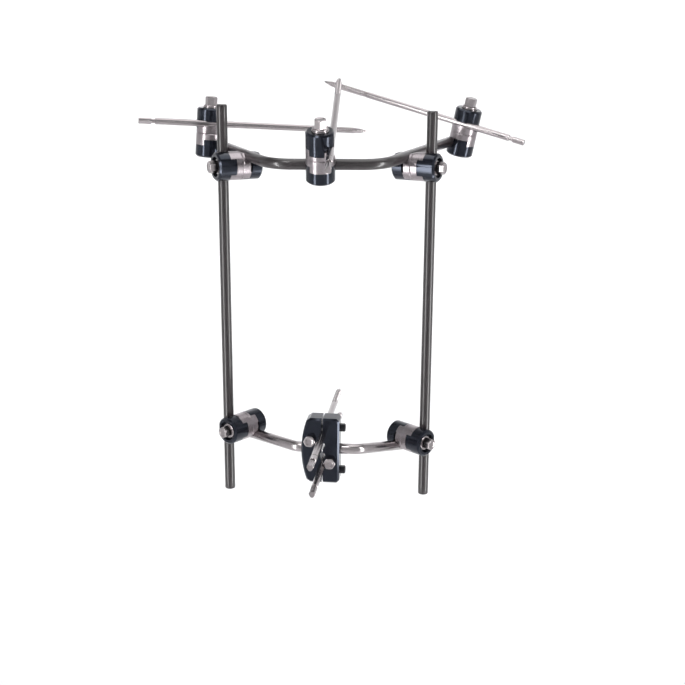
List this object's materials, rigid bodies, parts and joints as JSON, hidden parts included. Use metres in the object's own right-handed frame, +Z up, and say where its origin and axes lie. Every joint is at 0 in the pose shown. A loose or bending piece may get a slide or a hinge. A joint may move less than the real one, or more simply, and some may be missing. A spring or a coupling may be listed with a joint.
{
  "type": "external fixator",
  "caption": "Modular external bone fixator: upright carbon rods, a bent bar, swivel couplings, pin clamps and a block clamp that hold half pins in a bone.",
  "frame": {"origin": "thread root of the upper distal half pin, where it enters the bone", "axes": "+Z up along the rods, +Y from the front into the limb, +X to the right as seen from the front"},
  "size_m": [0.2943, 0.2237, 0.3192],
  "materials": {
    "carbon": "resin gloss over carbon fibre",
    "stainless_steel": "turned and polished",
    "spring_steel": "plain",
    "blackened_steel": "black oxide",
    "satin_aluminium": "satin",
    "black_aluminium": "black anodised, semi-gloss"
  },
  "bodies": {
    "distal_upper_pin": {"distal_upper_half_pin": "stainless_steel"},
    "distal_clamp": {"left_post": "stainless_steel", "right_post": "stainless_steel", "lower_left_coupling_outer_plate": "satin_aluminium", "lower_left_coupling_outer_jaw": "black_aluminium", "lower_left_coupling_inner_plate": "satin_aluminium", "lower_left_coupling_inner_jaw": "black_aluminium", "lower_right_coupling_outer_plate": "satin_aluminium", "lower_right_coupling_outer_jaw": "black_aluminium", "lower_right_coupling_inner_plate": "satin_aluminium", "lower_right_coupling_inner_jaw": "black_aluminium", "lower_coupling_bolts": "stainless_steel", "lower_coupling_washers": "stainless_steel", "lower_coupling_disc_springs": "spring_steel", "block_right_jaw": "black_aluminium", "block_left_jaw": "black_aluminium", "block_pinch_screws": "stainless_steel", "block_cross_bolts": "blackened_steel"},
    "distal_lower_pin": {"distal_lower_half_pin": "stainless_steel"},
    "left_rod": {"left_rod": "carbon"},
    "right_rod": {"right_rod": "carbon"},
    "proximal_frame": {"upper_left_coupling_outer_plate": "satin_aluminium", "upper_left_coupling_outer_jaw": "black_aluminium", "upper_left_coupling_inner_plate": "satin_aluminium", "upper_left_coupling_inner_jaw": "black_aluminium", "upper_right_coupling_outer_plate": "satin_aluminium", "upper_right_coupling_outer_jaw": "black_aluminium", "upper_right_coupling_inner_plate": "satin_aluminium", "upper_right_coupling_inner_jaw": "black_aluminium", "upper_coupling_bolts": "stainless_steel", "upper_coupling_washers": "stainless_steel", "upper_coupling_disc_springs": "spring_steel", "curved_bar": "carbon"},
    "left_clamp": {"left_clamp_inner_plate": "satin_aluminium", "left_clamp_inner_jaw": "black_aluminium", "left_clamp_bolt": "stainless_steel", "left_clamp_washer": "stainless_steel", "left_clamp_disc_spring": "spring_steel"},
    "left_pin_jaws": {"left_clamp_outer_plate": "satin_aluminium", "left_clamp_outer_jaw": "black_aluminium"},
    "left_pin": {"left_half_pin": "stainless_steel"},
    "centre_clamp": {"centre_clamp_inner_plate": "satin_aluminium", "centre_clamp_inner_jaw": "black_aluminium", "centre_clamp_bolt": "stainless_steel", "centre_clamp_washer": "stainless_steel", "centre_clamp_disc_spring": "spring_steel"},
    "centre_pin_jaws": {"centre_clamp_outer_plate": "satin_aluminium", "centre_clamp_outer_jaw": "black_aluminium"},
    "centre_pin": {"centre_half_pin": "stainless_steel"},
    "right_clamp": {"right_clamp_inner_plate": "satin_aluminium", "right_clamp_inner_jaw": "black_aluminium", "right_clamp_bolt": "stainless_steel", "right_clamp_washer": "stainless_steel", "right_clamp_disc_spring": "spring_steel"},
    "right_pin_jaws": {"right_clamp_outer_plate": "satin_aluminium", "right_clamp_outer_jaw": "black_aluminium"},
    "right_pin": {"right_half_pin": "stainless_steel"}
  },
  "joints": [
    {"name": "distal_clamp_slide", "type": "slide", "parent": "distal_upper_pin", "child": "distal_clamp", "axis": [0.1115, 0.9938, 0], "range_m": [-0.03, 0.02]},
    {"name": "distal_lower_pin_slide", "type": "slide", "parent": "distal_clamp", "child": "distal_lower_pin", "axis": [0.1115, 0.9938, 0], "range_m": [-0.02, 0.03]},
    {"name": "left_rod_slide", "type": "slide", "parent": "distal_clamp", "child": "left_rod", "axis": [0, 0, 1], "range_m": [-0.02, 0.02]},
    {"name": "right_rod_slide", "type": "slide", "parent": "distal_clamp", "child": "right_rod", "axis": [0, 0, 1], "range_m": [-0.02, 0.02]},
    {"name": "proximal_frame_slide", "type": "slide", "parent": "distal_clamp", "child": "proximal_frame", "axis": [0, 0, 1], "range_m": [-0.12, 0.015]},
    {"name": "left_clamp_slide", "type": "slide", "parent": "proximal_frame", "child": "left_clamp", "axis": [-0.4651, 0.8841, 0.0448], "range_m": [-0.03, 0.003]},
    {"name": "left_clamp_swivel", "type": "hinge", "parent": "left_clamp", "child": "left_pin_jaws", "pos_m": [-0.09642, 0.00656, 0.21802], "axis": [0.0733, -0.012, 0.9972], "range_deg": [-15, 15]},
    {"name": "left_pin_slide", "type": "slide", "parent": "left_pin_jaws", "child": "left_pin", "axis": [0.9547, 0.2901, -0.0667], "range_m": [-0.02, 0.02]},
    {"name": "centre_clamp_slide", "type": "slide", "parent": "proximal_frame", "child": "centre_clamp", "axis": [1, 0, 0], "range_m": [-0.01, 0.016]},
    {"name": "centre_clamp_swivel", "type": "hinge", "parent": "centre_clamp", "child": "centre_pin_jaws", "pos_m": [-0.00938, -0.08653, 0.21073], "axis": [0, -0.284, 0.9588], "range_deg": [-15, 15]},
    {"name": "centre_pin_slide", "type": "slide", "parent": "centre_pin_jaws", "child": "centre_pin", "axis": [0.0368, 0.9582, 0.2838], "range_m": [-0.02, 0.02]},
    {"name": "right_clamp_slide", "type": "slide", "parent": "proximal_frame", "child": "right_clamp", "axis": [0.4651, 0.8841, 0.0448], "range_m": [-0.02, 0.008]},
    {"name": "right_clamp_swivel", "type": "hinge", "parent": "right_clamp", "child": "right_pin_jaws", "pos_m": [0.10205, 0.03259, 0.21708], "axis": [0.1788, -0.1434, 0.9734], "range_deg": [-15, 15]},
    {"name": "right_pin_slide", "type": "slide", "parent": "right_pin_jaws", "child": "right_pin", "axis": [-0.8578, 0.4619, 0.2256], "range_m": [-0.02, 0.02]}
  ]
}
